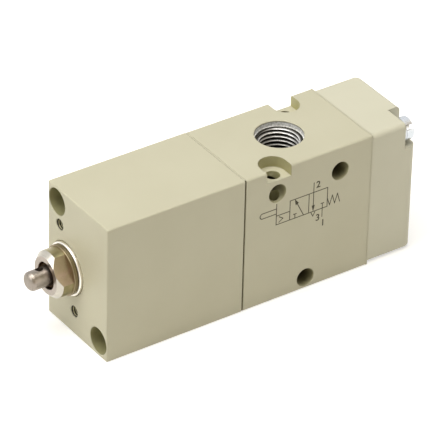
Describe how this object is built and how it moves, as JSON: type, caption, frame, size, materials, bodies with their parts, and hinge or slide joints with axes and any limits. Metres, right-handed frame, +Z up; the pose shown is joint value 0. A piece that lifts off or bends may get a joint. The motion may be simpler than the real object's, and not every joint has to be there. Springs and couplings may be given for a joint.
{
  "type": "plunger air valve",
  "caption": "Push-plunger air valve: painted blocks screwed in line, threaded ports, a sprung plunger in a guide nut, and inside a pilot poppet, servo piston and sliding spool.",
  "frame": {"origin": "middle of the footprint of the whole valve, on its base face", "axes": "+X runs along the valve from the plunger tip to the end cover, +Y across its width, +Z up through the top port"},
  "size_m": [0.1186, 0.03, 0.044],
  "materials": {
    "beige_paint": "smooth stove enamel, satin",
    "yellow_zinc_steel": "turned steel with a yellow zinc coat",
    "silver_zinc_steel": "bright zinc coat",
    "ground_steel": "hardened and ground",
    "spring_steel": "drawn wire",
    "nickel_plated_aluminium": "nickel plated, polished",
    "turned_brass": "turned",
    "black_rubber": "moulded nitrile rubber",
    "gasket_fibre": "pressed fibre",
    "white_acetal": "moulded"
  },
  "bodies": {
    "housing": {"plunger_block": "beige_paint", "valve_body": "beige_paint", "end_cover": "beige_paint", "block_gasket": "gasket_fibre", "cover_gasket": "gasket_fibre", "plunger_guide": "yellow_zinc_steel", "guide_washer": "silver_zinc_steel", "wiper_ring": "black_rubber", "pilot_seat": "turned_brass", "pilot_seat_seal": "black_rubber", "pilot_plug": "turned_brass", "pilot_plug_seal": "black_rubber", "spool_seal_1": "black_rubber", "spool_seal_2": "black_rubber", "spool_seal_3": "black_rubber", "spool_seal_4": "black_rubber", "exhaust_cage": "white_acetal", "outlet_cage": "white_acetal", "supply_cage": "white_acetal", "piston_end_bush": "white_acetal", "spring_end_bush": "white_acetal", "plunger_spring": "spring_steel", "pilot_spring": "spring_steel", "return_spring": "spring_steel", "block_screw_1": "silver_zinc_steel", "block_screw_2": "silver_zinc_steel", "block_screw_washer_1": "silver_zinc_steel", "block_screw_washer_2": "silver_zinc_steel", "cover_screw_1": "silver_zinc_steel", "cover_screw_2": "silver_zinc_steel", "cover_screw_washer_1": "silver_zinc_steel", "cover_screw_washer_2": "silver_zinc_steel"},
    "plunger": {"plunger": "ground_steel", "plunger_seal": "black_rubber"},
    "poppet": {"pilot_poppet": "turned_brass", "poppet_disc": "black_rubber"},
    "piston": {"servo_piston": "white_acetal", "piston_seal": "black_rubber"},
    "spool": {"spool": "nickel_plated_aluminium", "spring_seat": "white_acetal"}
  },
  "joints": [
    {"name": "plunger_slide", "type": "slide", "parent": "housing", "child": "plunger", "axis": [1, 0, 0], "range_m": [0, 0.003], "stiffness_N_per_m": 1000, "springref_m": -0.004, "deforming": ["plunger_spring"]},
    {"name": "poppet_slide", "type": "slide", "parent": "housing", "child": "poppet", "axis": [1, 0, 0], "range_m": [0, 0.0012], "stiffness_N_per_m": 300, "springref_m": -0.002, "deforming": ["pilot_spring"]},
    {"name": "piston_slide", "type": "slide", "parent": "housing", "child": "piston", "axis": [1, 0, 0], "range_m": [0, 0.0048]},
    {"name": "spool_slide", "type": "slide", "parent": "housing", "child": "spool", "axis": [1, 0, 0], "range_m": [0, 0.0048], "stiffness_N_per_m": 800, "springref_m": -0.003, "deforming": ["return_spring"]}
  ],
  "couplings": [
    {"joint": "poppet_slide", "follows": "plunger_slide", "ratio": 0.4},
    {"joint": "piston_slide", "follows": "plunger_slide", "ratio": 1.6},
    {"joint": "spool_slide", "follows": "plunger_slide", "ratio": 1.6}
  ]
}
